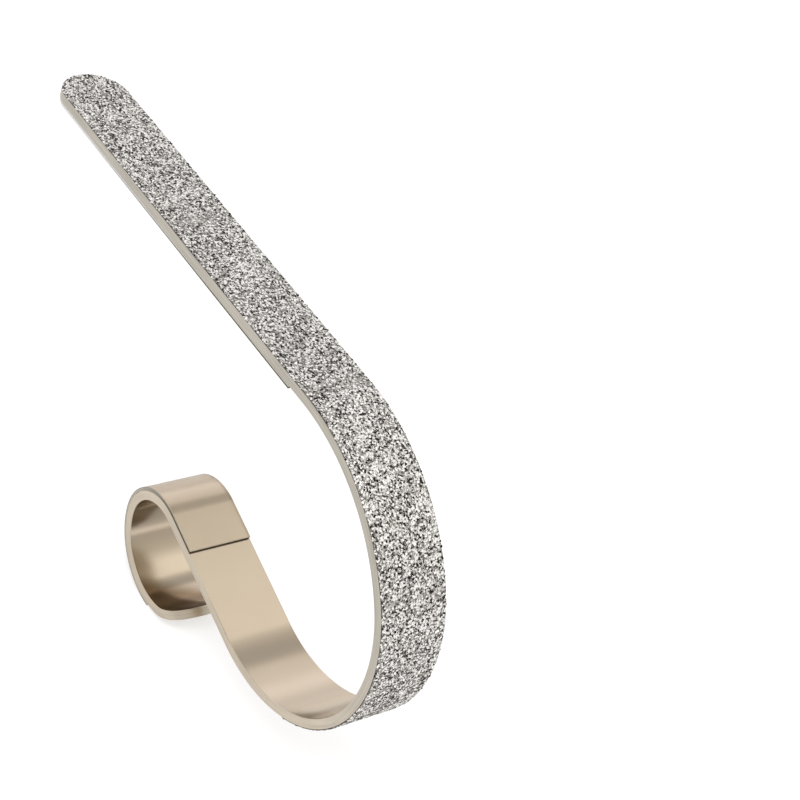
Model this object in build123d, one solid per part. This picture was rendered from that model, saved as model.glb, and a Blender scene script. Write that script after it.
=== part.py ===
"""Mantel stocking holder: a bent spring-steel band with a glitter cover and two clear grip pads.

Millimetres, +Z up. The arm lies along +Y, towards the wall, and the band is 16 mm wide along X. The origin is the
middle of the arm pad's underside, which is the face that lies on the shelf. The bow is in front, towards -Y, and the
curl is below the shelf.

The band has two faces. The inner face looks at the shelf: it is the arm's underside, the inside of the bow and the
outside of the curl. The outer face carries the glitter. A place on the band is given by its distance from the tip,
measured along the inner face, and by its depth below that face, which is negative outside it.
"""
import math
import os

from build123d import *

# Driving dimensions of the band
BAND_WIDTH = 16.0
BAND_THICKNESS = 2.2
BAND_EDGE_BREAK = 0.15

# Driving dimensions of the bent shape, all on the inner face
ARM_LENGTH = 112.5
SHOULDER_RADIUS = 43.0
SHOULDER_TURN = 58.0
BOW_RADIUS = 31.0
BOW_TURN = 139.0
LEG_LENGTH = 30.5
CURL_NECK_RADIUS = 12.0
CURL_NECK_TURN = 105.0
CURL_FOOT_RADIUS = 15.75
CURL_FOOT_TURN = 134.0

# Driving dimensions of the glitter cover
COVER_THICKNESS = 0.4
COVER_BOW_TURN = 97.5

# Driving dimensions of the two clear grip pads
PAD_THICKNESS = 0.8
ARM_PAD_SETBACK = 5.6
CURL_PAD_LEAD = 9.4
CURL_PAD_SETBACK = 11.5

# Spare length that the round ends are cut from
END_SPARE = 3.0


def bend(radius, turn):
    """One bend of the band: its length along the inner face and its turn, positive towards that face."""
    angle = math.radians(turn)
    return radius * abs(angle), angle


# The band's route from the tip of the arm to the end of the curl
ROUTE = [
    (ARM_LENGTH, 0.0),
    bend(SHOULDER_RADIUS, SHOULDER_TURN),
    bend(BOW_RADIUS, BOW_TURN),
    (LEG_LENGTH, 0.0),
    bend(CURL_NECK_RADIUS, -CURL_NECK_TURN),
    bend(CURL_FOOT_RADIUS, -CURL_FOOT_TURN),
]

# Distances from the tip that the pieces share
BAND_END = sum(length for length, _ in ROUTE)
BOW_START = ARM_LENGTH + bend(SHOULDER_RADIUS, SHOULDER_TURN)[0]
COVER_END = BOW_START + bend(BOW_RADIUS, COVER_BOW_TURN)[0]
ARM_PAD_END = ARM_LENGTH - ARM_PAD_SETBACK
CURL_START = BOW_START + bend(BOW_RADIUS, BOW_TURN)[0] + LEG_LENGTH
CURL_PAD_START = CURL_START - CURL_PAD_LEAD
CURL_PAD_END = BAND_END - CURL_PAD_SETBACK
ROUND_END_RADIUS = BAND_WIDTH / 2

# The tip's place puts the origin under the middle of the arm pad
TIP_Y = ARM_PAD_END / 2
TIP_Z = PAD_THICKNESS


def stretches(start, end):
    """Splits the route between two distances into straight and bent stretches: (from, to, is_bent)."""
    found = []
    distance = 0.0
    last = len(ROUTE) - 1
    for index, (length, turn) in enumerate(ROUTE):
        low = start if index == 0 else max(start, distance)
        high = end if index == last else min(end, distance + length)
        if high > low:
            found.append((low, high, turn != 0.0))
        distance += length
    return found


def frame_at(distance):
    """The point on the inner face at a distance from the tip, with its tangent angle, in the YZ plane."""
    y, z, angle = TIP_Y, TIP_Z, math.pi
    left = distance
    last = len(ROUTE) - 1
    for index, (length, turn) in enumerate(ROUTE):
        step = left if index == last else min(left, length)
        if turn == 0.0:
            y += step * math.cos(angle)
            z += step * math.sin(angle)
        else:
            radius = length / turn
            swept = step / radius
            y += radius * (math.sin(angle + swept) - math.sin(angle))
            z += radius * (math.cos(angle) - math.cos(angle + swept))
            angle += swept
        left -= step
        if index < last and left <= 0.0:
            break
    return y, z, angle


def place(distance, depth):
    """A point of the band's section, as a vector in the YZ plane."""
    y, z, angle = frame_at(distance)
    return Vector(0, y + depth * math.sin(angle), z - depth * math.cos(angle))


def side(start, end, depth):
    """The lines and arcs along one face of a layer, from one distance to another."""
    edges = []
    for low, high, is_bent in stretches(start, end):
        first, last = place(low, depth), place(high, depth)
        if is_bent:
            edges.append(Edge.make_three_point_arc(first, place((low + high) / 2, depth), last))
        else:
            edges.append(Edge.make_line(first, last))
    return edges


def layer(start, end, depth_from, depth_to, width):
    """A sheet that follows the band between two distances and two depths."""
    outline = side(start, end, depth_from) + side(start, end, depth_to)
    outline.append(Edge.make_line(place(start, depth_from), place(start, depth_to)))
    outline.append(Edge.make_line(place(end, depth_from), place(end, depth_to)))
    section = Face(Wire(outline))
    return extrude(section, amount=width / 2, dir=(1, 0, 0), both=True)


def round_end_cutter(centre_distance, depth, width, towards):
    """What lies beyond a half-round end: a block less a cylinder, square to the band at the end's centre.

    towards is 1 for the end of the curl and -1 for the tip, the way that the band runs out.
    """
    y, z, angle = frame_at(centre_distance)
    along = Vector(0, towards * math.cos(angle), towards * math.sin(angle))
    across = Vector(1, 0, 0)
    plane = Plane(origin=place(centre_distance, depth), x_dir=along, z_dir=along.cross(across))
    reach = ROUND_END_RADIUS + END_SPARE
    beyond = Pos(reach / 2, 0) * Rectangle(reach, 2 * width)
    corners = plane * (beyond - Circle(width / 2))
    return extrude(corners, amount=ROUND_END_RADIUS, both=True)


def make_steel_band():
    """The band: a sheet along the whole route, with half-round ends and broken edges."""
    middle = BAND_THICKNESS / 2
    band = layer(-END_SPARE, BAND_END + END_SPARE, 0.0, BAND_THICKNESS, BAND_WIDTH)
    band -= round_end_cutter(ROUND_END_RADIUS, middle, BAND_WIDTH, -1)
    band -= round_end_cutter(BAND_END - ROUND_END_RADIUS, middle, BAND_WIDTH, 1)
    rims = band.edges().filter_by(is_rim_edge)
    return chamfer(rims, BAND_EDGE_BREAK)


def is_rim_edge(edge):
    """True for the edges that run along the band's rim, and not across it or through its thickness."""
    across = abs(edge.start_point().X - edge.end_point().X) > BAND_WIDTH * 0.9
    straight_through = edge.length < BAND_THICKNESS * 1.01 and edge.geom_type == GeomType.LINE
    return not across and not straight_through


def make_glitter_cover():
    """The film on the outer face, round at the tip and cut square past the foot of the bow."""
    depth = BAND_THICKNESS + COVER_THICKNESS
    cover = layer(-END_SPARE, COVER_END, BAND_THICKNESS, depth, BAND_WIDTH)
    return cover - round_end_cutter(ROUND_END_RADIUS, depth, BAND_WIDTH, -1)


def make_arm_grip_pad():
    """The clear pad under the arm, round at the tip and cut square short of the shoulder."""
    pad = layer(-END_SPARE, ARM_PAD_END, -PAD_THICKNESS, 0.0, BAND_WIDTH)
    return pad - round_end_cutter(ROUND_END_RADIUS, 0.0, BAND_WIDTH, -1)


def make_curl_grip_pad():
    """The clear pad round the outside of the curl, cut square on the leg and short of the curl's round end."""
    return layer(CURL_PAD_START, CURL_PAD_END, -PAD_THICKNESS, 0.0, BAND_WIDTH)


PIECES = {
    "steel_band": make_steel_band,
    "glitter_cover": make_glitter_cover,
    "arm_grip_pad": make_arm_grip_pad,
    "curl_grip_pad": make_curl_grip_pad,
}

os.makedirs("parts", exist_ok=True)
for name, make in PIECES.items():
    piece = make()
    solids = piece.solids()
    size = piece.bounding_box().size
    print(f"{name}: {len(solids)} solid, {piece.volume:.1f} mm3, {size.X:.2f} x {size.Y:.2f} x {size.Z:.2f} mm")
    export_step(piece, f"parts/{name}.step")
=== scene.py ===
# %% [markdown]
# # A stocking holder for a mantel, bent from one strip
#
# The real object is a strip of springy steel, satin nickel plated. It was cut flat with round ends and then
# bent four times: a wide shoulder, a round bow, and two tighter bends that make the curl. Silver glitter
# covers the outside of the arm and the bow, and two clear pads grip the shelf. This lesson makes it the same
# way: flat blanks first, and then one set of Geometry Nodes that bends each blank along the same route.

import math
from collections import namedtuple

import bmesh
import bpy
from mathutils import Matrix, Vector


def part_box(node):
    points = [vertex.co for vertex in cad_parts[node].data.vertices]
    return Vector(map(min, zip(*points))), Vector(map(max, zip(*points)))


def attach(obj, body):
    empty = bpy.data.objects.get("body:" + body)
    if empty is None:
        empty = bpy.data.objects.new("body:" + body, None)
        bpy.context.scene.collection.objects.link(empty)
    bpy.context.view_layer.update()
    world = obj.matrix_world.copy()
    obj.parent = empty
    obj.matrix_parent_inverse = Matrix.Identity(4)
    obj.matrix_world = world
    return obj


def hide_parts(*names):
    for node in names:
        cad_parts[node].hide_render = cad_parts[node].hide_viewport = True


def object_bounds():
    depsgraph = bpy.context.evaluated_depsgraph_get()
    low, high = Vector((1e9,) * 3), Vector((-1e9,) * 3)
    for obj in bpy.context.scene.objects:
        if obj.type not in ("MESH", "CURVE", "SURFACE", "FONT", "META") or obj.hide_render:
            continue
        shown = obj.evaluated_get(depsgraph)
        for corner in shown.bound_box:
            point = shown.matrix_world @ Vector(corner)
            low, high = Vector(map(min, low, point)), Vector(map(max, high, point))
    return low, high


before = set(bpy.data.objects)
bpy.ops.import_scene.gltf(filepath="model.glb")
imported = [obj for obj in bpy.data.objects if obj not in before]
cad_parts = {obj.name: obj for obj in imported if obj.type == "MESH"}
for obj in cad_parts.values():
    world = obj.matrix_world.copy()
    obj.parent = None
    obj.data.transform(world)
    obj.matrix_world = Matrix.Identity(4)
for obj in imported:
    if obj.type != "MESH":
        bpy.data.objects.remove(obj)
cad_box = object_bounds()
MM = 0.001


def in_mm(box):
    """The corners of a box in millimetres, rounded for printing."""
    return [[round(value / MM, 2) for value in corner] for corner in box]


print("CAD nodes:", ", ".join(sorted(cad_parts)))
print("CAD box:", in_mm(cad_box), "mm")

# %% [markdown]
# ## The route of the strip
#
# Every place on the strip is known by its distance from the tip, measured on the inner face: the face that
# looks at the shelf. A route is then only a list of lengths, radii and turns. It could also be drawn as a
# curve by hand, but numbers keep the bends tangent and let the glitter and the pads follow the same line.

# %% Sizes of the strip and its bends
low_corner, high_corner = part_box("steel_band")
pad_low, pad_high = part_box("arm_grip_pad")

BAND_WIDTH = high_corner.x - low_corner.x
BAND_THICKNESS = 2.2 * MM
TIP = Vector((0.0, high_corner.y, pad_high.z))

# Each bend: its name, the straight stretch before it, its radius and its turn
ARM_LENGTH = 112.5 * MM
LEG_LENGTH = 30.5 * MM
BENDS = [
    ("Shoulder", ARM_LENGTH, 43.0 * MM, math.radians(58.0)),
    ("Bow", 0.0, 31.0 * MM, math.radians(139.0)),
    ("Curl neck", LEG_LENGTH, 12.0 * MM, math.radians(-105.0)),
    ("Curl foot", 0.0, 15.75 * MM, math.radians(-134.0)),
]


Bend = namedtuple("Bend", "name start end radius turn")


def route_of(bends):
    """Adds up the bends into a route, with the distances from the tip where each starts and ends."""
    route = []
    distance = 0.0
    for name, straight_before, radius, turn in bends:
        start = distance + straight_before
        distance = start + radius * abs(turn)
        route.append(Bend(name, start, distance, radius, turn))
    return route


ROUTE = route_of(BENDS)
SHOULDER, BOW, CURL_NECK, CURL_FOOT = ROUTE
STRIP_END = CURL_FOOT.end
for bend in ROUTE:
    degrees = math.degrees(bend.turn)
    print(f"{bend.name}: {bend.start / MM:.1f} to {bend.end / MM:.1f} mm, turns {degrees:.0f} degrees")

# %% [markdown]
# ## Flat blanks
#
# A blank is what a press would stamp: a long flat shape with a rounded rim. A cube with a Bevel modifier
# would do for a square strip, but a half-round end pinches a bevel. So the blank is written as rows across
# the strip, with a rim profile carried round its outline. The rows stand close together where the strip will
# bend and wide apart where it stays straight.

# %% Rows along the strip
STRAIGHT_STEP = 3.0 * MM
BEND_STEP = math.radians(1.2)
END_FAN_STEPS = 22
END_FAN_FIRST = math.radians(3.0)
RIM_STEPS = 4
RIM_SUPPORT = 0.15 * MM
NARROW_SUPPORT = 0.25
COLUMNS_EACH_SIDE = 3

Row = namedtuple("Row", "along half out_along out_across")


def stations():
    """Distances from the tip that every layer of the strip shares, so that the layers lie flush."""
    found = []
    distance = 0.0
    for bend in ROUTE:
        gap = bend.start - distance
        if gap > 0.0:
            count = max(1, round(gap / STRAIGHT_STEP))
            found += [distance + gap * k / count for k in range(count)]
        count = round(abs(bend.turn) / BEND_STEP)
        found += [bend.start + (bend.end - bend.start) * k / count for k in range(count)]
        distance = bend.end
    return found


def corner_rows(edge, corner, half, rim, way):
    """Rows round one end, from the outermost inwards. Way is -1 at a blank's start and 1 at its end."""
    rows = []
    sweep = math.pi / 2 - END_FAN_FIRST
    for k in range(END_FAN_STEPS + 1):
        angle = END_FAN_FIRST + sweep * k / END_FAN_STEPS
        ahead, aside = math.cos(angle), math.sin(angle)
        along = edge - way * corner + way * (corner - rim) * ahead
        rows.append(Row(along, half - corner + (corner - rim) * aside, way * ahead, aside))
    return rows


def side_rows(start, end, half, rim, start_corner, end_corner):
    """One side of a blank, inside the rim: rows with a distance, a half width and the way outwards."""
    first, last = start + start_corner + RIM_SUPPORT, end - end_corner - RIM_SUPPORT
    rows = corner_rows(start, start_corner, half, rim, -1)
    rows += [Row(along, half - rim, 0.0, 1.0) for along in stations() if first < along < last]
    rows += reversed(corner_rows(end, end_corner, half, rim, 1))
    return rows


def columns(half):
    """Places across a row: the two edges, a support beside each edge, and an even spread between them."""
    inner = half - min(RIM_SUPPORT, half * NARROW_SUPPORT)
    steps = range(-COLUMNS_EACH_SIDE, COLUMNS_EACH_SIDE + 1)
    return [-half] + [inner * k / COLUMNS_EACH_SIDE for k in steps] + [half]


print(f"{len(stations())} shared stations along {STRIP_END / MM:.1f} mm of strip")

# %% [markdown]
# Each blank also writes two things that later steps read: a face attribute that tells the upper face, the
# lower face and the rim apart, and a UV map in metres along and across the strip, which the brushed grain
# follows. On the rim the map is measured along the outline and down the wall, so that the grain runs along
# the edge and round the ends.

# %% A flat sheet and its two faces
FACE_UPPER, FACE_LOWER, FACE_RIM, FACE_LIP, FACE_CUT = 0, 1, 2, 3, 4


class FlatSheet:
    """A blank while it is flat: points (along, x, height), and faces with their marks and map places."""

    def __init__(self):
        self.points = []
        self.faces = []
        self.marks = []
        self.places = []

    def add_point(self, along, x, height):
        self.points.append((along, x, height))
        return len(self.points) - 1

    def add_face(self, corners, mark, places):
        self.faces.append(corners)
        self.marks.append(mark)
        self.places.append(places)

    def make_object(self, name):
        """The sheet as an object, along -Y from the tip, with its upper face towards +Z."""
        mesh = bpy.data.meshes.new(name)
        points = [(x, TIP.y - along, TIP.z + height) for along, x, height in self.points]
        mesh.from_pydata(points, [], self.faces)
        marks = mesh.attributes.new("strip_face", "INT", "FACE")
        marks.data.foreach_set("value", self.marks)
        strip_map = mesh.uv_layers.new(name="strip")
        for polygon, places in zip(mesh.polygons, self.places):
            for loop, place in zip(polygon.loop_indices, places):
                strip_map.data[loop].uv = place
        outward = bmesh.new()
        outward.from_mesh(mesh)
        bmesh.ops.recalc_face_normals(outward, faces=outward.faces)
        outward.to_mesh(mesh)
        outward.free()
        mesh.validate()
        thing = bpy.data.objects.new(name, mesh)
        bpy.context.scene.collection.objects.link(thing)
        return thing


def add_two_faces(sheet, rows, across, low, high):
    """The upper and the lower face of a blank. Gives back the points of both, row by row."""
    upper = [[sheet.add_point(row.along, x, high) for x in xs] for row, xs in zip(rows, across)]
    lower = [[sheet.add_point(row.along, x, low) for x in xs] for row, xs in zip(rows, across)]
    for i in range(len(rows) - 1):
        for j in range(len(across[0]) - 1):
            top = (upper[i][j], upper[i + 1][j], upper[i + 1][j + 1], upper[i][j + 1])
            under = (lower[i][j], lower[i][j + 1], lower[i + 1][j + 1], lower[i + 1][j])
            for corners, mark in ((top, FACE_UPPER), (under, FACE_LOWER)):
                sheet.add_face(corners, mark, [sheet.points[corner][:2] for corner in corners])
    return upper, lower


print("marks:", {"upper": FACE_UPPER, "lower": FACE_LOWER, "rim": FACE_RIM, "lip": FACE_LIP, "cut": FACE_CUT})

# %% [markdown]
# The rim profile starts at the edge of the upper face, turns a quarter round, runs down the wall and turns in
# under the lower face. A line on the wall and the square cut ends can be marked apart, and the rounded edges
# can take the finish of the wall or of the faces.

# %% The rim, and a whole blank
CUT_CLEAR = 0.25 * MM


def rim_profile(low, high, rim, breaks):
    """(outward, height) pairs from the upper face's edge, down the wall, to the lower face's edge."""
    quarter = [math.pi / 2 * k / RIM_STEPS for k in range(RIM_STEPS + 1)]
    upper = [(rim * math.sin(a), high - rim * (1 - math.cos(a))) for a in quarter]
    lower = [(rim * math.sin(a), low + rim * (1 - math.cos(a))) for a in reversed(quarter)]
    wall = [(rim, height) for height in sorted(breaks, reverse=True) if low + rim < height < high - rim]
    return upper + wall + lower


def outline_of(rows, last_column):
    """Left side, far end, right side and near end: (row, column, outwards along, outwards across)."""
    last_row = len(rows) - 1
    outline = [(i, 0, row.out_along, -row.out_across) for i, row in enumerate(rows)]
    outline += [(last_row, j, 1.0, 0.0) for j in range(1, last_column)]
    outline += [(i, last_column, row.out_along, row.out_across) for i, row in reversed([*enumerate(rows)])]
    outline += [(0, j, -1.0, 0.0) for j in range(last_column - 1, 0, -1)]
    return outline


def add_rim(sheet, rows, across, upper, lower, profile, mark_of):
    """Carries the profile round the outline, from the upper face's edge to the lower face's."""
    outline = outline_of(rows, len(across[0]) - 1)
    rings = [[upper[i][j] for i, j, _, _ in outline]]
    for outward, height in profile[1:-1]:
        ring = []
        for i, j, out_along, out_across in outline:
            along = rows[i].along + out_along * outward
            ring.append(sheet.add_point(along, across[i][j] + out_across * outward, height))
        rings.append(ring)
    rings.append([lower[i][j] for i, j, _, _ in outline])
    walked = [0.0]
    for here, there in zip(rings[0], rings[0][1:] + rings[0][:1]):
        walked.append(walked[-1] + math.dist(sheet.points[here], sheet.points[there]))
    for ring, next_ring, above, below in zip(rings, rings[1:], profile, profile[1:]):
        for k in range(len(outline)):
            following = (k + 1) % len(outline)
            corners = (ring[k], next_ring[k], next_ring[following], ring[following])
            near, far = walked[k], walked[k + 1]
            places = [(near, above[1]), (near, below[1]), (far, below[1]), (far, above[1])]
            sheet.add_face(corners, mark_of(outline[k][0], outline[following][0], above, below), places)


def stamp_blank(name, start, end, low, high, width, rim, start_corner, end_corner, lip=None, edge=FACE_RIM):
    """A flat closed blank between two distances and two heights, which are measured from the inner face.

    The lip is a line on the rim: its lowest and highest height, and the distance where it ends. It and the
    square cut ends, but for their outermost part, are marked apart from the rest of the rim. The edge is the
    mark of the rounded edges.
    """
    lip_low, lip_high, lip_end = lip or (high, high, start)
    rows = side_rows(start, end, width / 2, rim, start_corner, end_corner)
    across = [columns(row.half) for row in rows]
    ends = ((0, start_corner), (len(rows) - 1, end_corner))
    square_rows = [row for row, corner in ends if corner < width / 2]

    def mark_of(row, next_row, above, below):
        middle = (above[1] + below[1]) / 2
        if row == next_row and row in square_rows and middle > low + CUT_CLEAR:
            return FACE_CUT
        if lip_low < middle < lip_high and rows[row].along < lip_end:
            return FACE_LIP
        return FACE_RIM if above[0] == below[0] else edge

    sheet = FlatSheet()
    upper, lower = add_two_faces(sheet, rows, across, low, high)
    profile = rim_profile(low, high, rim, (lip_low, lip_high, low + CUT_CLEAR))
    add_rim(sheet, rows, across, upper, lower, profile, mark_of)
    print(f"{name}: blank of {len(sheet.points)} points and {len(sheet.faces)} faces")
    return sheet.make_object(name)


# %% [markdown]
# ## The bending tool
#
# A press brake bends a strip at one place and swings the rest round with it. The node group below does that
# for one bend. Points before the bend stay, points inside it roll onto the arc, and points past it swing
# round as one piece. A Curve modifier would also bend the blank, but it measures along the curve's own line
# and would stretch the layers by different amounts. Here the inner face keeps its length, as the route's
# distances need.

# %% Small helpers for node trees
GEOMETRY, MATERIAL = "NodeSocketGeometry", "NodeSocketMaterial"
FLOAT, VECTOR = "NodeSocketFloat", "NodeSocketVector"


def wire(tree, socket, value):
    """Links a socket to another, or sets its plain value."""
    if isinstance(value, bpy.types.NodeSocket):
        tree.links.new(value, socket)
    else:
        socket.default_value = value


def add_node(tree, kind, inputs=None, **settings):
    """A node with its settings and inputs filled in."""
    node = tree.nodes.new(kind)
    for key, value in settings.items():
        setattr(node, key, value)
    for key, value in (inputs or {}).items():
        wire(tree, node.inputs[key], value)
    return node


def put(tree, kind, inputs=None, **settings):
    """A node that is wanted for its first output alone."""
    return add_node(tree, kind, inputs, **settings).outputs[0]


def calc(tree, operation, *values, kind="ShaderNodeMath"):
    """One Math node, and the socket that it puts out."""
    return put(tree, kind, dict(enumerate(values)), operation=operation)


def vector_calc(tree, operation, *values):
    """One Vector Math node, and the vector that it puts out."""
    return calc(tree, operation, *values, kind="ShaderNodeVectorMath")


def stored(tree, name, kind="FLOAT"):
    """An attribute that the mesh carries, in a Geometry Nodes tree."""
    return put(tree, "GeometryNodeInputNamedAttribute", {"Name": name}, data_type=kind)


def store(tree, shape, name, value):
    """The shape with a value stored on each of its points."""
    inputs = {"Geometry": shape, "Name": name, "Value": value}
    return put(tree, "GeometryNodeStoreNamedAttribute", inputs, data_type="FLOAT", domain="POINT")


def new_tree(name, kind, inputs, outputs):
    """An empty tree with its input and output nodes. Sockets are (name, type, default) and (name, type)."""
    tree = bpy.data.node_groups.new(name, kind + "NodeTree")
    for socket_name, socket_type, default in inputs:
        socket = tree.interface.new_socket(socket_name, in_out="INPUT", socket_type=socket_type)
        if default is not None:
            socket.default_value = default
    for socket_name, socket_type in outputs:
        tree.interface.new_socket(socket_name, in_out="OUTPUT", socket_type=socket_type)
    return tree, tree.nodes.new("NodeGroupInput"), tree.nodes.new("NodeGroupOutput")


print("helpers ready")

# %% One bend as a node group


def make_bend_group():
    """Rolls the stretch from Start onto an arc. A negative Turn bends towards the outer face."""
    tree, given, result = new_tree(
        "Bend the strip once",
        "Geometry",
        [
            ("Geometry", GEOMETRY, None),
            ("Tip", VECTOR, None),
            ("Start", FLOAT, 0.0),
            ("Radius", FLOAT, 1.0),
            ("Turn", FLOAT, 1.0),
        ],
        [("Geometry", GEOMETRY)],
    )
    along = stored(tree, "along")
    tip = add_node(tree, "ShaderNodeSeparateXYZ", {"Vector": given.outputs["Tip"]})
    start, turn = given.outputs["Start"], given.outputs["Turn"]
    radius = calc(tree, "MULTIPLY", given.outputs["Radius"], calc(tree, "SIGN", turn))
    length = calc(tree, "MULTIPLY", radius, turn)

    # How much of the bend lies behind each point, from 0 to 1
    share = calc(tree, "DIVIDE", calc(tree, "SUBTRACT", along, start), length)
    share = put(tree, "ShaderNodeClamp", {"Value": share})
    angle = calc(tree, "MULTIPLY", share, turn)
    nearest = calc(tree, "ADD", start, calc(tree, "MULTIPLY", share, length))

    # The point's offset from the strip's line, turned with the bend
    flat_y = calc(tree, "SUBTRACT", tip.outputs["Y"], nearest)
    flat = put(tree, "ShaderNodeCombineXYZ", {"Y": flat_y, "Z": tip.outputs["Z"]})
    offset = vector_calc(tree, "SUBTRACT", put(tree, "GeometryNodeInputPosition"), flat)
    turned = put(tree, "ShaderNodeVectorRotate", {"Vector": offset, "Angle": angle}, rotation_type="X_AXIS")

    # The line's own place on the arc
    reach = calc(tree, "MULTIPLY", radius, calc(tree, "SINE", angle))
    drop = calc(tree, "MULTIPLY", radius, calc(tree, "SUBTRACT", 1.0, calc(tree, "COSINE", angle)))
    arc_y = calc(tree, "SUBTRACT", calc(tree, "SUBTRACT", tip.outputs["Y"], start), reach)
    arc_z = calc(tree, "SUBTRACT", tip.outputs["Z"], drop)
    arc = put(tree, "ShaderNodeCombineXYZ", {"Y": arc_y, "Z": arc_z})
    place = vector_calc(tree, "ADD", arc, turned)
    moved = put(tree, "GeometryNodeSetPosition", {"Geometry": given.outputs["Geometry"], "Position": place})
    wire(tree, result.inputs[0], moved)
    return tree


bend_group = make_bend_group()
print("bend group:", len(bend_group.nodes), "nodes")

# %% [markdown]
# The whole tool places that group four times. The curl's foot is bent first and the shoulder last, because
# each bend needs the strip before it to be still flat. Every bend has its own named inputs on the modifier,
# so the same tree could make a clip for a thicker shelf.

# %% The whole bending tree
BEND_SIZES = ("start", "radius", "turn")
FINISHED_PARTS = [(FACE_UPPER, "Face"), (FACE_RIM, "Rim"), (FACE_LIP, "Lip"), (FACE_CUT, "Cut end")]


def make_bending_tree():
    """Stores each point's distance from the tip, bends the blank four times, and gives it its materials."""
    inputs = [("Geometry", GEOMETRY, None), ("Tip", VECTOR, None)]
    inputs += [(f"{part} material", MATERIAL, None) for _, part in FINISHED_PARTS]
    for bend in ROUTE:
        inputs += [(f"{bend.name} {size}", FLOAT, 1.0) for size in BEND_SIZES]
    tree, given, result = new_tree("Bend the clip", "Geometry", inputs, [("Geometry", GEOMETRY)])
    from_tip = vector_calc(tree, "SUBTRACT", given.outputs["Tip"], put(tree, "GeometryNodeInputPosition"))
    along = add_node(tree, "ShaderNodeSeparateXYZ", {"Vector": from_tip}).outputs["Y"]
    shape = store(tree, given.outputs["Geometry"], "along", along)
    for bend in reversed(ROUTE):
        inputs = {"Geometry": shape, "Tip": given.outputs["Tip"]}
        inputs |= {size.capitalize(): given.outputs[f"{bend.name} {size}"] for size in BEND_SIZES}
        shape = put(tree, "GeometryNodeGroup", inputs, node_tree=bend_group)
    shape = put(tree, "GeometryNodeSetShadeSmooth", {"Geometry": shape})
    shape = put(tree, "GeometryNodeRealizeInstances", {"Geometry": shape})
    mark = stored(tree, "strip_face", "INT")
    for least_mark, part in FINISHED_PARTS:
        chosen = calc(tree, "GREATER_THAN", mark, least_mark - 0.5)
        finish = {"Geometry": shape, "Selection": chosen, "Material": given.outputs[f"{part} material"]}
        shape = put(tree, "GeometryNodeSetMaterial", finish)
    wire(tree, result.inputs[0], shape)
    return tree


def run_tree(thing, tree, values):
    """Runs a tree on an object, keeps the result as a plain mesh and takes the modifier off again."""
    modifier = thing.modifiers.new(tree.name, "NODES")
    modifier.node_group = tree
    for item in tree.interface.items_tree:
        if item.in_out == "INPUT" and item.name in values:
            modifier[item.identifier] = values[item.name]
    evaluated = thing.evaluated_get(bpy.context.evaluated_depsgraph_get())
    mesh = bpy.data.meshes.new_from_object(evaluated)
    thing.modifiers.remove(modifier)
    mesh.name = thing.name
    thing.data = mesh


def bend_blank(blank, face_material, rim_material, lip_material=None, cut_material=None):
    """Bends one blank along the route. A lip or cut end with no material of its own has the rim's."""
    values = {"Tip": TIP, "Face material": face_material, "Rim material": rim_material}
    values["Lip material"] = lip_material or rim_material
    values["Cut end material"] = cut_material or rim_material
    for bend in ROUTE:
        values |= {f"{bend.name} {size}": getattr(bend, size) for size in BEND_SIZES}
    run_tree(blank, bending_tree, values)


bending_tree = make_bending_tree()
print("bending tree:", len(bending_tree.nodes), "nodes")

# %% [markdown]
# ## Shared shader groups
#
# Two effects show on more than one finish, so each is a node group. Handling marks are the soft, cloudy
# changes of gloss that fingers leave on metal and on clear film alike, with the fine scratches that make the
# metal's grain. Fine speckle gives the tiny bright and dark grains that sit between the glitter flakes and
# along the edge of their bed. Groups put out only masks here. The shaders stay in the materials.

# %% Handling marks and fine speckle
SCRATCH_STRETCH = (0.03, 1.0, 1.0)


def make_marks_group():
    """Cloudy marks and fine scratches along the strip. Cloud and Scratch are masks from 0 to 1."""
    tree, given, result = new_tree(
        "Handling marks",
        "Shader",
        [("Cloud scale", FLOAT, 120.0), ("Scratch scale", FLOAT, 2600.0)],
        [("Cloud", FLOAT), ("Scratch", FLOAT)],
    )
    clip_place = add_node(tree, "ShaderNodeTexCoord").outputs["Object"]
    strip_place = put(tree, "ShaderNodeUVMap", uv_map="strip")
    drawn = vector_calc(tree, "MULTIPLY", strip_place, SCRATCH_STRETCH)
    for mask, place, detail in (("Cloud", clip_place, 3.0), ("Scratch", drawn, 4.0)):
        inputs = {"Vector": place, "Scale": given.outputs[f"{mask} scale"], "Detail": detail}
        wire(tree, result.inputs[mask], put(tree, "ShaderNodeTexNoise", inputs))
    return tree


def make_speckle_group():
    """Small cells, each with its own random grey, and the distance from each cell's middle."""
    tree, given, result = new_tree(
        "Fine speckle", "Shader", [("Scale", FLOAT, 3000.0)], [("Grey", FLOAT), ("Edge", FLOAT)]
    )
    place = add_node(tree, "ShaderNodeTexCoord").outputs["Object"]
    cells = add_node(tree, "ShaderNodeTexVoronoi", {"Vector": place, "Scale": given.outputs["Scale"]})
    grey = add_node(tree, "ShaderNodeSeparateColor", {"Color": cells.outputs["Color"]}).outputs["Red"]
    wire(tree, result.inputs["Grey"], grey)
    wire(tree, result.inputs["Edge"], cells.outputs["Distance"])
    return tree


marks_group = make_marks_group()
speckle_group = make_speckle_group()
print("shader groups:", marks_group.name, "and", speckle_group.name)

# %% Small helpers for materials
MIX_FIRST, MIX_SECOND, MIX_RESULT = 6, 7, 2


def new_material(name, constants):
    """A material with a Principled shader, its constants set straight on the shader's sockets."""
    material = bpy.data.materials.new(name)
    material.use_nodes = True
    tree = material.node_tree
    shader = tree.nodes["Principled BSDF"]
    for key, value in constants.items():
        shader.inputs[key].default_value = value
    return material, tree, shader


def mix_colour(tree, factor, first, second):
    """A colour between two, by a factor. A Mix node has other sockets for numbers than for colours."""
    inputs = {"Factor": factor, MIX_FIRST: first, MIX_SECOND: second}
    return add_node(tree, "ShaderNodeMix", inputs, data_type="RGBA").outputs[MIX_RESULT]


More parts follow.
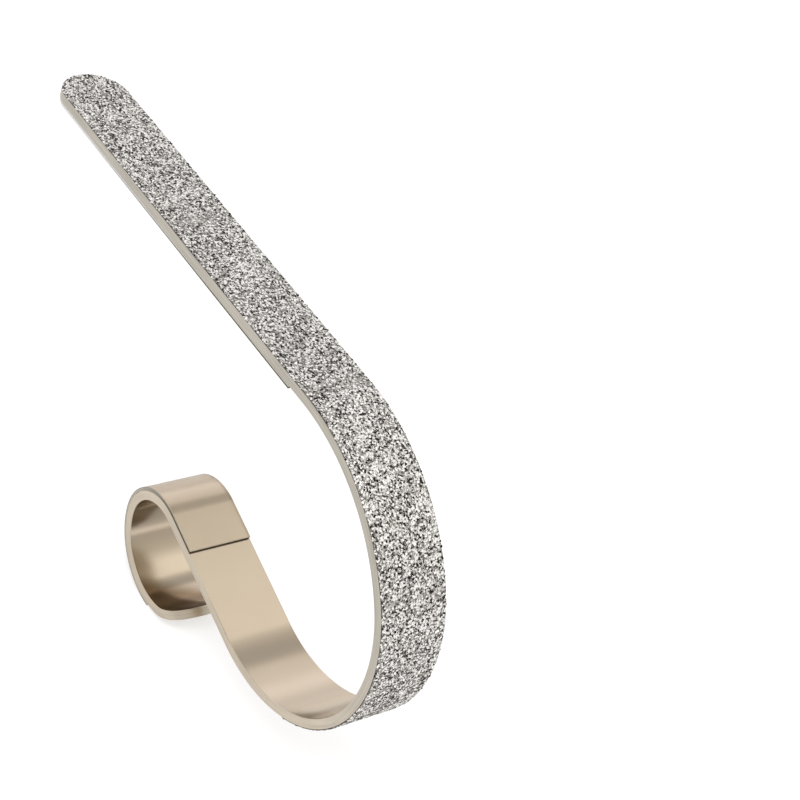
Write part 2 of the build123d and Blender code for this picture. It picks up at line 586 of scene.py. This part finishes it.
def ramp(tree, value, stops):
    """A colour that runs through stops (position, colour) as a value goes from 0 to 1."""
    node = add_node(tree, "ShaderNodeValToRGB", {"Fac": value})
    elements = node.color_ramp.elements
    while len(elements) < len(stops):
        elements.new(0.5)
    for element, (position, colour) in zip(elements, stops):
        element.position = position
        element.color = colour
    return node.outputs["Color"]


def spread(tree, value, span):
    """Maps a mask from 0 to 1 onto a span."""
    return put(tree, "ShaderNodeMapRange", {"Value": value, "To Min": span[0], "To Max": span[1]})


def between(tree, value, span, **settings):
    """A mask that runs from 0 to 1 as a value crosses a span."""
    inputs = {"Value": value, "From Min": span[0], "From Max": span[1]}
    return put(tree, "ShaderNodeMapRange", inputs, **settings)


def attribute(tree, name):
    """An attribute that the mesh carries, in a material."""
    return add_node(tree, "ShaderNodeAttribute", attribute_name=name).outputs["Fac"]


def place_group(tree, group, inputs):
    """Places a shared group in a material with its own values."""
    return add_node(tree, "ShaderNodeGroup", inputs, node_tree=group)


def raise_grain(tree, shader, height, strength, depth):
    """Lets a mask stand out of the surface as a fine bump."""
    bump = put(tree, "ShaderNodeBump", {"Strength": strength, "Distance": depth, "Height": height})
    wire(tree, shader.inputs["Normal"], bump)


print("material helpers ready")

# %% [markdown]
# ## Satin nickel
#
# The plating is a warm, champagne toned metal with a soft polish. A plain metallic colour looks like a
# computer drawing, so three things vary: the tone drifts a little in large clouds, the gloss is duller where
# it was handled, and a faint grain runs along the strip, as it does on metal that was rolled and brushed
# before it was bent. The cut edge was sheared, so it is greyer and duller than the two faces and shows more
# of that grain. Past the bow the edge is painted a little lighter and warmer: painted light. The last
# stretch inside the curl is painted darker and browner: painted shade, for the curl's shade on itself and
# its reflections of itself, put into the plating's colour. One picture can't tell a stain from a reflection,
# so a brown stain in the plating stands for it.

# %% The nickel material
NICKEL_FACE = [(0.700, 0.610, 0.485, 1.0), (0.655, 0.568, 0.444, 1.0)]
NICKEL_EDGE = [(0.775, 0.757, 0.682, 1.0), (0.318, 0.309, 0.276, 1.0)]
NICKEL_CLOUDS = 70.0
SCRATCH_GLOSS = (-0.02, 0.03)
GRAIN_DEPTH = 0.02 * MM
# Painted light: the edge past the bow is painted lighter and warmer
EDGE_FAR_PAINTED_LIGHT = (1.22, 1.14, 1.05)
EDGE_FAR_PAINTED_LIGHT_SPAN = (165.0 * MM, 205.0 * MM)
# Painted shade: the inside of the curl's end is painted darker and browner
CURL_PAINTED_SHADE_TINT = (0.44, 0.365, 0.295)
CURL_PAINTED_SHADE_SPAN = (305.5 * MM, 311.5 * MM)
CURL_PAINTED_SHADE_SLANT = 0.6


def curl_painted_shade_mask(tree):
    """A mask for the painted shade inside the curl's end: the upper face past a slanting line."""
    strip_place = put(tree, "ShaderNodeUVMap", uv_map="strip")
    flat = add_node(tree, "ShaderNodeSeparateXYZ", {"Vector": strip_place})
    slant = calc(tree, "MULTIPLY", flat.outputs["Y"], CURL_PAINTED_SHADE_SLANT)
    reach = calc(tree, "SUBTRACT", flat.outputs["X"], slant)
    past = between(tree, reach, CURL_PAINTED_SHADE_SPAN, interpolation_type="SMOOTHSTEP")
    on_upper = calc(tree, "LESS_THAN", attribute(tree, "strip_face"), FACE_UPPER + 0.5)
    return calc(tree, "MULTIPLY", past, on_upper)


def make_nickel(name, tones, gloss, grain, scratch_scale, streak, far_painted_light=None):
    """Plated metal between two tones and two roughnesses.

    Grain is the bump's strength and streak is the scratches' share in the tone. The far painted light, if
    there is one, paints the tone past the bow lighter and warmer.
    """
    material, tree, shader = new_material(name, {"Metallic": 1.0})
    marks = place_group(tree, marks_group, {"Cloud scale": NICKEL_CLOUDS, "Scratch scale": scratch_scale})
    cloud, scratch = marks.outputs["Cloud"], marks.outputs["Scratch"]
    drift = calc(tree, "ADD", spread(tree, cloud, (0.0, 1.0 - streak)), spread(tree, scratch, (0.0, streak)))
    clean = mix_colour(tree, drift, *tones)
    # Past the bow the edge is painted lighter and warmer: painted light
    if far_painted_light:
        far_lighter_tone = vector_calc(tree, "MULTIPLY", clean, far_painted_light)
        clean = mix_colour(tree, between(tree, attribute(tree, "along"), EDGE_FAR_PAINTED_LIGHT_SPAN), clean, far_lighter_tone)
    # The inside of the curl's end is painted darker and browner: painted shade
    painted_shade_tone = vector_calc(tree, "MULTIPLY", clean, CURL_PAINTED_SHADE_TINT)
    wire(tree, shader.inputs["Base Color"], mix_colour(tree, curl_painted_shade_mask(tree), clean, painted_shade_tone))
    rough = calc(tree, "ADD", spread(tree, cloud, gloss), spread(tree, scratch, SCRATCH_GLOSS))
    wire(tree, shader.inputs["Roughness"], rough)
    raise_grain(tree, shader, scratch, grain, GRAIN_DEPTH)
    return material


satin_nickel = make_nickel(
    "satin_nickel", NICKEL_FACE, gloss=(0.15, 0.22), grain=0.03, scratch_scale=9000.0, streak=0.2
)
sheared_nickel = make_nickel(
    "sheared_nickel",
    NICKEL_EDGE,
    gloss=(0.30, 0.42),
    grain=0.25,
    scratch_scale=2600.0,
    streak=0.7,
    far_painted_light=EDGE_FAR_PAINTED_LIGHT,
)
print("made", satin_nickel.name, "and", sheared_nickel.name)

# %% [markdown]
# ## Glitter: the bed and the flakes
#
# Glitter is thousands of little cut foil hexagons scattered on wet glue. A noise texture gives specks, but
# they lie flat and glitter comes from flakes that tip towards the light one by one. So the bed is a thin coat
# with fine speckle, and real flakes are scattered on it in a later step. Each flake carries a painted
# reflection as an attribute: a tone from black to white for what its foil face mirrors, dark or light.

# %% The bed and flake materials
BED_TONES = [(0.035, 0.032, 0.025, 1.0), (0.62, 0.60, 0.57, 1.0)]
BED_GLOSS = (0.30, 0.55)
BED_SPECKLE = 3400.0
BED_GRAIN = 0.5
SPECKLE_DEPTH = 0.08 * MM
FILM_EDGE = [(0.030, 0.026, 0.016, 1.0), (0.11, 0.10, 0.075, 1.0)]
FILM_EDGE_GLOSS = (0.45, 0.65)
FILM_EDGE_SPECKLE = 2200.0
FLAKE_GLOSS = (0.38, 0.22)
# Painted reflections: each flake's tone, black to white, stands for what its foil face mirrors
FLAKE_PAINTED_REFLECTIONS = [
    (0.00, (0.004, 0.004, 0.003, 1.0)),
    (0.23, (0.012, 0.011, 0.008, 1.0)),
    (0.28, (0.130, 0.124, 0.112, 1.0)),
    (0.36, (0.640, 0.622, 0.594, 1.0)),
    (0.55, (0.900, 0.882, 0.858, 1.0)),
    (1.00, (1.000, 0.985, 0.965, 1.0)),
]


def make_speckled(name, tones, gloss, scale, metallic):
    """A coat with fine speckle between two tones. Gives back its tree, shader and speckle too."""
    material, tree, shader = new_material(name, {"Metallic": metallic, "IOR": 1.45})
    speckle = place_group(tree, speckle_group, {"Scale": scale})
    wire(tree, shader.inputs["Base Color"], mix_colour(tree, speckle.outputs["Grey"], *tones))
    wire(tree, shader.inputs["Roughness"], spread(tree, speckle.outputs["Edge"], gloss))
    return material, tree, shader, speckle


def make_glitter_bed():
    """The coat under the flakes, with its speckle raised a little."""
    material, tree, shader, speckle = make_speckled(
        "glitter_bed", BED_TONES, BED_GLOSS, BED_SPECKLE, metallic=0.4
    )
    raise_grain(tree, shader, speckle.outputs["Grey"], BED_GRAIN, SPECKLE_DEPTH)
    return material


def make_glitter_flake():
    """Foil that takes its tone and gloss from each flake's painted reflection."""
    material, tree, shader = new_material("glitter_flake", {"Metallic": 0.5, "IOR": 1.5})
    shade = attribute(tree, "flake_painted_reflection")
    wire(tree, shader.inputs["Base Color"], ramp(tree, shade, FLAKE_PAINTED_REFLECTIONS))
    wire(tree, shader.inputs["Roughness"], spread(tree, shade, FLAKE_GLOSS))
    return material


glitter_bed = make_glitter_bed()
glitter_flake = make_glitter_flake()
film_edge = make_speckled("film_edge", FILM_EDGE, FILM_EDGE_GLOSS, FILM_EDGE_SPECKLE, metallic=0.0)[0]
print("made", glitter_bed.name, glitter_flake.name, "and", film_edge.name)

# %% [markdown]
# ## Clear grip film
#
# The pads are a clear soft film with a glossy face. What you see through it is the metal below. The wall of
# the film was cut, so it is frosted and looks pale. Round the curl it is painted darker, as painted shade,
# and near the arm's tip painted almost white, as painted light from the white behind it. The square cut ends
# are nearly black with glue and painted shade. A darker line runs along the wall: painted shade on the arm's
# shelf lip, glue and painted shade on the curl, where it fades out towards the crown. Seen from inside the
# film, a cut wall works as a mirror: light that meets it at a flat angle can't leave. So each of these edges
# is dull in front and mirror-like from behind.

# %% The film and its cut edge
GRIP_IOR = 1.43
GRIP_MARKS = {"Cloud scale": 160.0, "Scratch scale": 900.0}
GRIP_EDGE_MARKS = {"Cloud scale": 500.0, "Scratch scale": 900.0}
GRIP_TINTS = [(0.998, 0.992, 0.975, 1.0), (0.985, 0.972, 0.945, 1.0)]
GRIP_GLOSS = (0.05, 0.16)
GRIP_WALL = [(0.57, 0.535, 0.455, 1.0), (0.68, 0.645, 0.560, 1.0)]
# Round the curl the pad's wall and line are painted darker: painted shade
GRIP_CURL_PAINTED_SHADE = [(0.45, 0.415, 0.350, 1.0), (0.54, 0.500, 0.430, 1.0)]
# Near the arm's tip the wall is painted near white: painted light
GRIP_TIP_PAINTED_LIGHT = (0.86, 0.85, 0.82, 1.0)
# Darker line: painted shade on the arm's shelf lip, glue and painted shade on the curl
GRIP_GLUE_AND_SHADE_LINE = [(0.055, 0.043, 0.022, 1.0), (0.11, 0.087, 0.048, 1.0)]
# Cut ends: glue and painted shade
GRIP_CUT_GLUE_AND_SHADE = [(0.045, 0.028, 0.012, 1.0), (0.11, 0.075, 0.040, 1.0)]
GRIP_MIRROR = (0.95, 0.93, 0.90, 1.0)
GRIP_EDGE_GLOSS = (0.35, 0.55)
GRIP_FRONT_DULL = 1.1
LINE_AND_CURL_SHADE_FADE = (262.0 * MM, 277.0 * MM)
TIP_PAINTED_LIGHT_FADE = (15.0 * MM, 75.0 * MM)


def make_clear_grip():
    """Clear soft film, a little clouded."""
    constants = {"Metallic": 0.0, "Transmission Weight": 1.0, "IOR": GRIP_IOR}
    material, tree, shader = new_material("clear_grip", constants)
    cloud = place_group(tree, marks_group, GRIP_MARKS).outputs["Cloud"]
    wire(tree, shader.inputs["Base Color"], mix_colour(tree, cloud, *GRIP_TINTS))
    wire(tree, shader.inputs["Roughness"], spread(tree, cloud, GRIP_GLOSS))
    return material


def make_grip_edge(name, tones):
    """A dull edge between two tones, painted near white by the tip as painted light, and a mirror from
    behind.

    Walls and lines fade into one painted shade round the curl. Cut ends keep their own.
    """
    material, tree, shader = new_material(name, {"IOR": GRIP_IOR})
    cloud = place_group(tree, marks_group, GRIP_EDGE_MARKS).outputs["Cloud"]
    inside = add_node(tree, "ShaderNodeNewGeometry").outputs["Backfacing"]
    along = attribute(tree, "along")
    dull = mix_colour(tree, cloud, *tones)
    # Round the curl, walls and lines are painted darker: painted shade
    if tones is not GRIP_CUT_GLUE_AND_SHADE:
        curl_wall_shade = mix_colour(tree, cloud, *GRIP_CURL_PAINTED_SHADE)
        dull = mix_colour(tree, between(tree, along, LINE_AND_CURL_SHADE_FADE), dull, curl_wall_shade)
    # Near the arm's tip the edge is painted near white: painted light
    dull = mix_colour(tree, between(tree, along, TIP_PAINTED_LIGHT_FADE), GRIP_TIP_PAINTED_LIGHT, dull)
    wire(tree, shader.inputs["Base Color"], mix_colour(tree, inside, dull, GRIP_MIRROR))
    side = calc(tree, "SUBTRACT", GRIP_FRONT_DULL, inside)
    matt = spread(tree, cloud, GRIP_EDGE_GLOSS)
    wire(tree, shader.inputs["Roughness"], calc(tree, "MULTIPLY", matt, side))
    wire(tree, shader.inputs["Metallic"], inside)
    return material


clear_grip = make_clear_grip()
grip_wall = make_grip_edge("grip_wall", GRIP_WALL)
grip_glue_and_shade_line = make_grip_edge("grip_glue_and_shade_line", GRIP_GLUE_AND_SHADE_LINE)
grip_cut_end = make_grip_edge("grip_cut_end", GRIP_CUT_GLUE_AND_SHADE)
print("made", clear_grip.name, grip_wall.name, grip_cut_end.name, "and", grip_glue_and_shade_line.name)

# %% [markdown]
# ## The steel band
#
# The band is the whole length of the route, 2.2 mm thick, with half-round ends and a rounded rim. It is
# stamped flat and bent in one go. The solid's round end is cut straight through the curl, so it reaches a
# little farther round the bend than a rolled one, and the blank is longer by that. The script then prints
# its box beside the CAD solid's, because a bend in the wrong place would show there first.

# %% Stamp and bend the band
BAND_RIM = 0.15 * MM
ROUND_END = BAND_WIDTH / 2
CURL_END_REACH = 1.10 * MM


def box_of(thing):
    """Lowest and highest corner of a mesh object."""
    places = [vertex.co for vertex in thing.data.vertices]
    return [[pick(place[k] for place in places) for k in range(3)] for pick in (min, max)]


def set_on_clip(piece, node):
    """The piece rides on the clip and stands in for its CAD node, which it hides."""
    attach(piece, "root")
    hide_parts(node)
    print(f"{piece.name}: {in_mm(box_of(piece))} mm, CAD {node}: {in_mm(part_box(node))} mm")


band = stamp_blank(
    "nickel_band",
    start=0.0,
    end=STRIP_END + CURL_END_REACH,
    low=0.0,
    high=BAND_THICKNESS,
    width=BAND_WIDTH,
    rim=BAND_RIM,
    start_corner=ROUND_END,
    end_corner=ROUND_END,
)
bend_blank(band, satin_nickel, sheared_nickel)
set_on_clip(band, "steel_band")

# %% [markdown]
# ## The glitter bed
#
# The bed is a second blank on the outer face. It sinks a hair into the metal so that no gap shows, ends
# square just past the foot of the bow, and stays a hair inside the strip's edges, so that the flakes on it
# end at the edge.

# %% Stamp and bend the bed
COVER_BOW_TURN = math.radians(97.5)
COVER_END = BOW.start + BOW.radius * COVER_BOW_TURN
BED_INSET = 0.1 * MM
BED_WIDTH = BAND_WIDTH - 2 * BED_INSET
BED_THICKNESS = 0.18 * MM
BED_RIM = 0.06 * MM
BED_CORNER = 0.5 * MM
GLUE_SINK = 0.03 * MM

bed = stamp_blank(
    "glitter_bed",
    start=BED_INSET,
    end=COVER_END,
    low=BAND_THICKNESS - GLUE_SINK,
    high=BAND_THICKNESS + BED_THICKNESS,
    width=BED_WIDTH,
    rim=BED_RIM,
    start_corner=BED_WIDTH / 2,
    end_corner=BED_CORNER,
)
bend_blank(bed, glitter_bed, film_edge)
set_on_clip(bed, "glitter_cover")

# %% [markdown]
# ## Scattering the flakes
#
# Distribute Points on Faces puts points on the bed's outer face, and each point gets a small closed hexagon
# that is turned at random and tipped a little off the surface. A flake has only twenty triangles, because
# there are thousands. Its painted reflection mixes pure chance with a soft noise, so that dark and light
# flakes gather in small patches as they do in real glitter. The stretch is cut into pieces along the strip,
# to keep each mesh light.

# %% The scatter tree
SEED_PLACE, SEED_SHADE, SEED_TURN, SEED_SIZE, SEED_RISE = 11, 23, 37, 41, 53
PATCH_REACHES = [("Patch scale", 0.20), ("Broad patch scale", 0.10)]
PATCH_NOISE = (0.3, 0.7)
FLAKE_CORNERS = 6


def random_value(tree, low, high, seed, kind="FLOAT"):
    """A random number or vector for each point, from a fixed seed."""
    least, most, result = {"FLOAT": (2, 3, 1), "FLOAT_VECTOR": (0, 1, 0)}[kind]
    inputs = {least: low, most: high, "Seed": seed}
    return add_node(tree, "FunctionNodeRandomValue", inputs, data_type=kind).outputs[result]


def flake_painted_reflection(tree, given):
    """Each flake's painted reflection from 0 to 1: mostly chance, partly soft patches of two sizes."""
    place = put(tree, "GeometryNodeInputPosition")
    shade = random_value(tree, 0.0, 1.0, SEED_SHADE)
    for size, reach in PATCH_REACHES:
        noise = {"Vector": place, "Scale": given.outputs[size], "Detail": 2.0}
        cloud = put(tree, "ShaderNodeTexNoise", noise)
        patch = {"Value": cloud, "From Min": PATCH_NOISE[0], "From Max": PATCH_NOISE[1]}
        patch |= {"To Min": -reach, "To Max": reach}
        shade = calc(tree, "ADD", shade, put(tree, "ShaderNodeMapRange", patch))
    return put(tree, "ShaderNodeClamp", {"Value": shade})


def flake_turn(tree, given, rest):
    """A flake's rotation: from the surface's own, spun at random and tipped either way by up to Tilt."""
    tilt = given.outputs["Tilt"]
    back = calc(tree, "MULTIPLY", tilt, -1.0)
    least = put(tree, "ShaderNodeCombineXYZ", {"X": back, "Y": back, "Z": 0.0})
    most = put(tree, "ShaderNodeCombineXYZ", {"X": tilt, "Y": tilt, "Z": math.pi})
    angles = random_value(tree, least, most, SEED_TURN, "FLOAT_VECTOR")
    tip_over = put(tree, "FunctionNodeEulerToRotation", {"Euler": angles})
    turn = {"Rotation": rest, "Rotate By": tip_over}
    return put(tree, "FunctionNodeRotateRotation", turn, rotation_space="LOCAL")


def make_scatter_tree():
    """Scatters tipped hexagon flakes on the bed's outer face between two distances from the tip."""
    sizes = ["From", "To", "Density", "Flake radius", "Flake thickness", "Smallest", "Tilt", "Lift"]
    sizes += [size for size, _ in PATCH_REACHES]
    inputs = [("Geometry", GEOMETRY, None), ("Material", MATERIAL, None)]
    inputs += [(size, FLOAT, 1.0) for size in sizes]
    tree, given, result = new_tree("Scatter the glitter", "Geometry", inputs, [("Geometry", GEOMETRY)])

    # Points on the stretch's outer face
    along = stored(tree, "along")
    on_upper = calc(tree, "LESS_THAN", stored(tree, "strip_face", "INT"), FACE_UPPER + 0.5)
    past_start = calc(tree, "GREATER_THAN", along, given.outputs["From"])
    before_end = calc(tree, "LESS_THAN", along, given.outputs["To"])
    chosen = calc(tree, "MULTIPLY", on_upper, calc(tree, "MULTIPLY", past_start, before_end))
    points = add_node(
        tree,
        "GeometryNodeDistributePointsOnFaces",
        {
            "Mesh": given.outputs["Geometry"],
            "Selection": chosen,
            "Density": given.outputs["Density"],
            "Seed": SEED_PLACE,
        },
        distribute_method="RANDOM",
    )
    shaded = store(tree, points.outputs["Points"], "flake_painted_reflection", flake_painted_reflection(tree, given))

    # A hexagon of foil on each point, turned, tipped and lifted
    foil = {"Vertices": FLAKE_CORNERS, "Radius": given.outputs["Flake radius"]}
    foil["Depth"] = given.outputs["Flake thickness"]
    placed = put(
        tree,
        "GeometryNodeInstanceOnPoints",
        {
            "Points": shaded,
            "Instance": put(tree, "GeometryNodeMeshCylinder", foil, fill_type="NGON"),
            "Rotation": flake_turn(tree, given, points.outputs["Rotation"]),
            "Scale": random_value(tree, given.outputs["Smallest"], 1.0, SEED_SIZE),
        },
    )
    rise = put(tree, "ShaderNodeCombineXYZ", {"Z": random_value(tree, 0.0, given.outputs["Lift"], SEED_RISE)})
    raised = put(tree, "GeometryNodeTranslateInstances", {"Instances": placed, "Translation": rise})
    real = put(tree, "GeometryNodeRealizeInstances", {"Geometry": raised})
    finish = {"Geometry": real, "Material": given.outputs["Material"]}
    wire(tree, result.inputs[0], put(tree, "GeometryNodeSetMaterial", finish))
    return tree


scatter_tree = make_scatter_tree()
print("scatter tree:", len(scatter_tree.nodes), "nodes")

# %% Scatter four stretches of flakes
FLAKE_STRETCHES = [
    ("glitter_flakes_tip", 0.0, ARM_LENGTH / 2),
    ("glitter_flakes_arm", ARM_LENGTH / 2, ARM_LENGTH),
    ("glitter_flakes_shoulder", SHOULDER.start, SHOULDER.end),
    ("glitter_flakes_bow", BOW.start, COVER_END),
]
FLAKES_PER_SQUARE_METRE = 6.2e6
FLAKE_SIZES = {
    "Density": FLAKES_PER_SQUARE_METRE,
    "Flake radius": 0.31 * MM,
    "Flake thickness": 0.03 * MM,
    "Smallest": 0.65,
    "Tilt": math.radians(22.0),
    "Lift": 0.08 * MM,
    "Patch scale": 900.0,
    "Broad patch scale": 170.0,
}

for name, start, end in FLAKE_STRETCHES:
    flakes = bpy.data.objects.new(name, bed.data.copy())
    bpy.context.scene.collection.objects.link(flakes)
    run_tree(flakes, scatter_tree, {"From": start, "To": end, "Material": glitter_flake, **FLAKE_SIZES})
    set_on_clip(flakes, "glitter_cover")
    flakes.data.calc_loop_triangles()
    print(f"{name}: {len(flakes.data.loop_triangles)} triangles")

# %% [markdown]
# ## The two clear pads
#
# One pad lies under the arm, the other wraps the outside of the curl. Both are blanks on the inner face,
# bent by the same tree, so they hug the steel exactly. They sink a hair into it, as glued film does, and end
# a hair inside its rounded edges, where the metal falls away. On the arm the darker line on the lip that
# faces the shelf is painted shade. On the curl it is the glue line beside the steel with painted shade, from
# the cut end to the crown.

# %% Stamp and bend the pads
PAD_THICKNESS = pad_high.z - pad_low.z
PAD_RIM = 0.08 * MM
PAD_CORNER = 0.16 * MM
PAD_INSET = 0.12 * MM
PAD_WIDTH = BAND_WIDTH - 2 * PAD_INSET
ARM_PAD_END = TIP.y - pad_low.y
# The arm's darker shelf lip is painted shade
SHELF_LIP_HEIGHT = 0.42 * MM
SHELF_LIP = (-PAD_THICKNESS, -PAD_THICKNESS + SHELF_LIP_HEIGHT, ARM_PAD_END)
CURL_PAD_LEAD = 9.4 * MM
CURL_PAD_SETBACK = 11.5 * MM
CURL_PAD_START = CURL_NECK.start - CURL_PAD_LEAD
CURL_PAD_END = STRIP_END - CURL_PAD_SETBACK
# The curl's darker line beside the steel is glue with painted shade
WALL_GLUE_AND_SHADE_DEPTH = 0.60 * MM
WALL_GLUE_AND_SHADE_LINE = (-WALL_GLUE_AND_SHADE_DEPTH, GLUE_SINK, LINE_AND_CURL_SHADE_FADE[1])

PADS = [
    ("arm_grip", "arm_grip_pad", PAD_INSET, ARM_PAD_END, PAD_WIDTH / 2, SHELF_LIP),
    ("curl_grip", "curl_grip_pad", CURL_PAD_START, CURL_PAD_END, PAD_CORNER, WALL_GLUE_AND_SHADE_LINE),
]
for name, node, start, end, start_corner, lip in PADS:
    pad = stamp_blank(
        name,
        start,
        end,
        low=-PAD_THICKNESS,
        high=GLUE_SINK,
        width=PAD_WIDTH,
        rim=PAD_RIM,
        start_corner=start_corner,
        end_corner=PAD_CORNER,
        lip=lip,
        edge=FACE_LOWER,
    )
    bend_blank(pad, clear_grip, grip_wall, grip_glue_and_shade_line, grip_cut_end)
    set_on_clip(pad, node)

# %% [markdown]
# ## Floor, light and camera
#
# A product photograph on white needs even light from all round. The world gives most of it, two soft lamps
# add some direction, and the floor is white paper that keeps a faint shadow. Polished metal shows the room
# more than it shows the lamps. So in reflections the world is a studio of long panels: a white wall behind
# the clip, a gap, a bright panel overhead, and a dimmer room in front. A soft shade lies on the paper to the
# right of the clip, also in reflections alone.

# %% The white paper floor
FLOOR_REACH = 1.5
FLOOR_GLOW = 0.56
FLOOR_GLOW_MIRRORED = 0.33
PAPER = (0.55, 0.55, 0.55, 1.0)
PAPER_MIRRORED = (0.55, 0.525, 0.51)
GLOW_TINTS = [(1.0, 1.0, 1.0, 1.0), (1.0, 0.95, 0.92, 1.0)]
SHADE_PLACE = (30.0 * MM, -50.0 * MM)
SHADE_REACH = (25.0 * MM, 45.0 * MM)
SHADE_LEVEL = 0.64


def seen_straight(tree, path):
    """A mask for rays that come from the camera, or from it through the clear film."""
    return calc(tree, "MAXIMUM", path.outputs["Is Camera Ray"], path.outputs["Is Transmission Ray"])


def make_paper(floor_z):
    """White paper that glows a little, with a soft shade on it that only reflections show."""
    material, tree, shader = new_material("white_paper", {"Roughness": 0.9, "Specular IOR Level": 0.0})
    path = add_node(tree, "ShaderNodeLightPath")
    glossy = path.outputs["Is Glossy Ray"]
    place = add_node(tree, "ShaderNodeTexCoord").outputs["Object"]
    away = vector_calc(tree, "SUBTRACT", place, (*SHADE_PLACE, floor_z))
    distance = add_node(tree, "ShaderNodeVectorMath", {0: away}, operation="LENGTH").outputs["Value"]
    lit = spread(tree, between(tree, distance, SHADE_REACH), (SHADE_LEVEL, 1.0))
    in_metal = vector_calc(tree, "MULTIPLY", PAPER_MIRRORED, lit)
    wire(tree, shader.inputs["Base Color"], mix_colour(tree, glossy, PAPER, in_metal))
    wire(tree, shader.inputs["Emission Color"], mix_colour(tree, glossy, *GLOW_TINTS))
    straight = calc(tree, "MULTIPLY", seen_straight(tree, path), FLOOR_GLOW)
    mirrored = calc(tree, "MULTIPLY", glossy, calc(tree, "MULTIPLY", lit, FLOOR_GLOW_MIRRORED))
    wire(tree, shader.inputs["Emission Strength"], calc(tree, "MAXIMUM", straight, mirrored))
    return material


def make_floor():
    """A large sheet of white paper under the clip."""
    mesh = bpy.data.meshes.new("paper_floor")
    z = cad_box[0][2]
    corners = [(-FLOOR_REACH, -FLOOR_REACH, z), (FLOOR_REACH, -FLOOR_REACH, z)]
    corners += [(FLOOR_REACH, FLOOR_REACH, z), (-FLOOR_REACH, FLOOR_REACH, z)]
    mesh.from_pydata(corners, [], [(0, 1, 2, 3)])
    mesh.materials.append(make_paper(z))
    floor = bpy.data.objects.new("paper_floor", mesh)
    bpy.context.scene.collection.objects.link(floor)


make_floor()
print("floor at", round(cad_box[0][2] / MM, 2), "mm")

# %% The soft world
WORLD_LIGHT = 0.8
SECOND_MIRROR = 0.36
ONE_MIRROR_AND_A_HALF = 1.5

# Each panel's edge: degrees from the wall behind the clip, over the top, to the room in front; level; blue
PANEL_GREEN = 0.955
STUDIO_PANELS = [
    (-180.0, 0.50, 0.90),
    (-30.0, 0.60, 0.90),
    (-12.0, 0.72, 0.93),
    (0.0, 0.93, 0.96),
    (8.0, 0.84, 0.96),
    (14.0, 0.86, 0.96),
    (20.0, 0.98, 0.96),
    (25.0, 1.13, 0.96),
    (32.0, 1.10, 0.95),
    (42.0, 0.92, 0.94),
    (56.0, 0.90, 0.93),
    (60.0, 0.50, 0.91),
    (72.0, 0.50, 0.91),
    (79.0, 0.62, 0.90),
    (83.0, 0.75, 0.90),
    (87.0, 1.12, 0.90),
    (118.0, 1.12, 0.90),
    (140.0, 0.70, 0.88),
    (160.0, 0.58, 0.88),
    (180.0, 0.50, 0.90),
]


def studio_panels(tree):
    """The panels' colours, by the angle of a direction round the X axis."""
    way = add_node(tree, "ShaderNodeTexCoord").outputs["Generated"]
    direction = add_node(tree, "ShaderNodeSeparateXYZ", {"Vector": way})
    angle = calc(tree, "ARCTAN2", direction.outputs["Z"], direction.outputs["Y"])
    stops = []
    for degrees, level, blue in STUDIO_PANELS:
        stops.append(((degrees + 180.0) / 360.0, (level, level * PANEL_GREEN, level * blue, 1.0)))
    return ramp(tree, between(tree, angle, (-math.pi, math.pi)), stops)


def make_world():
    """Even light for surfaces, white for the camera and through the film, and panels for reflections."""
    world = bpy.data.worlds.new("white_studio")
    world.use_nodes = True
    tree = world.node_tree
    path = add_node(tree, "ShaderNodeLightPath")
    direct = spread(tree, seen_straight(tree, path), (WORLD_LIGHT, 1.0))

    # Metal that is seen in metal shows the room once more, dimmed by what stands in the way
    mirrors = calc(tree, "SUBTRACT", path.outputs["Glossy Depth"], path.outputs["Transmission Depth"])
    again = calc(tree, "GREATER_THAN", mirrors, ONE_MIRROR_AND_A_HALF)
    dimmed = vector_calc(tree, "MULTIPLY", studio_panels(tree), spread(tree, again, (1.0, SECOND_MIRROR)))
    sky = mix_colour(tree, path.outputs["Is Glossy Ray"], direct, dimmed)
    wire(tree, tree.nodes["Background"].inputs["Color"], sky)
    bpy.context.scene.world = world


make_world()
print("world light", WORLD_LIGHT)

# %% Two soft lamps
# Each lamp: name, place in metres, size in metres and power in watts
LAMPS = [
    ("key_softbox", (-0.35, -0.25, 0.75), 0.5, 3.0),
    ("fill_softbox", (0.30, -0.65, 0.12), 0.4, 1.3),
]
MIDDLE = (Vector(cad_box[0]) + Vector(cad_box[1])) / 2


def aim(place, target, roll=0.0):
    """A matrix that stands at a place and looks at a target, turned about the line of sight."""
    turn = (Vector(target) - Vector(place)).to_track_quat("-Z", "Y").to_matrix().to_4x4()
    return Matrix.Translation(place) @ turn @ Matrix.Rotation(roll, 4, "Z")


for name, place, size, power in LAMPS:
    light = bpy.data.lights.new(name, "AREA")
    light.shape = "DISK"
    light.size = size
    light.energy = power
    lamp = bpy.data.objects.new(name, light)
    lamp.matrix_world = aim(place, MIDDLE)
    lamp.visible_glossy = False
    lamp.visible_transmission = False
    bpy.context.scene.collection.objects.link(lamp)
    print(f"{name}: {power} W")

# %% [markdown]
# The camera stands above and in front of the clip, to its left, and is rolled: in the photograph the clip
# lies at a slant. Place, lens and roll came from matching the straight edges of the arm and the rims of the
# bends.

# %% The camera
CAMERA_PLACE = Vector((-219.96, -280.71, 239.06)) * MM
CAMERA_AZIMUTH = math.radians(-46.993)
CAMERA_ELEVATION = math.radians(36.789)
CAMERA_ROLL = math.radians(20.670)
CAMERA_LENS = 89.24

sight = Vector((
    -math.sin(CAMERA_AZIMUTH) * math.cos(CAMERA_ELEVATION),
    math.cos(CAMERA_AZIMUTH) * math.cos(CAMERA_ELEVATION),
    -math.sin(CAMERA_ELEVATION),
))
camera_data = bpy.data.cameras.new("photo_camera")
camera_data.lens = CAMERA_LENS
camera = bpy.data.objects.new("photo_camera", camera_data)
camera.matrix_world = aim(CAMERA_PLACE, CAMERA_PLACE + sight, CAMERA_ROLL)
bpy.context.scene.collection.objects.link(camera)
bpy.context.scene.camera = camera
bpy.context.scene.view_settings.view_transform = "Standard"
print("camera at", in_mm([CAMERA_PLACE])[0], "mm")
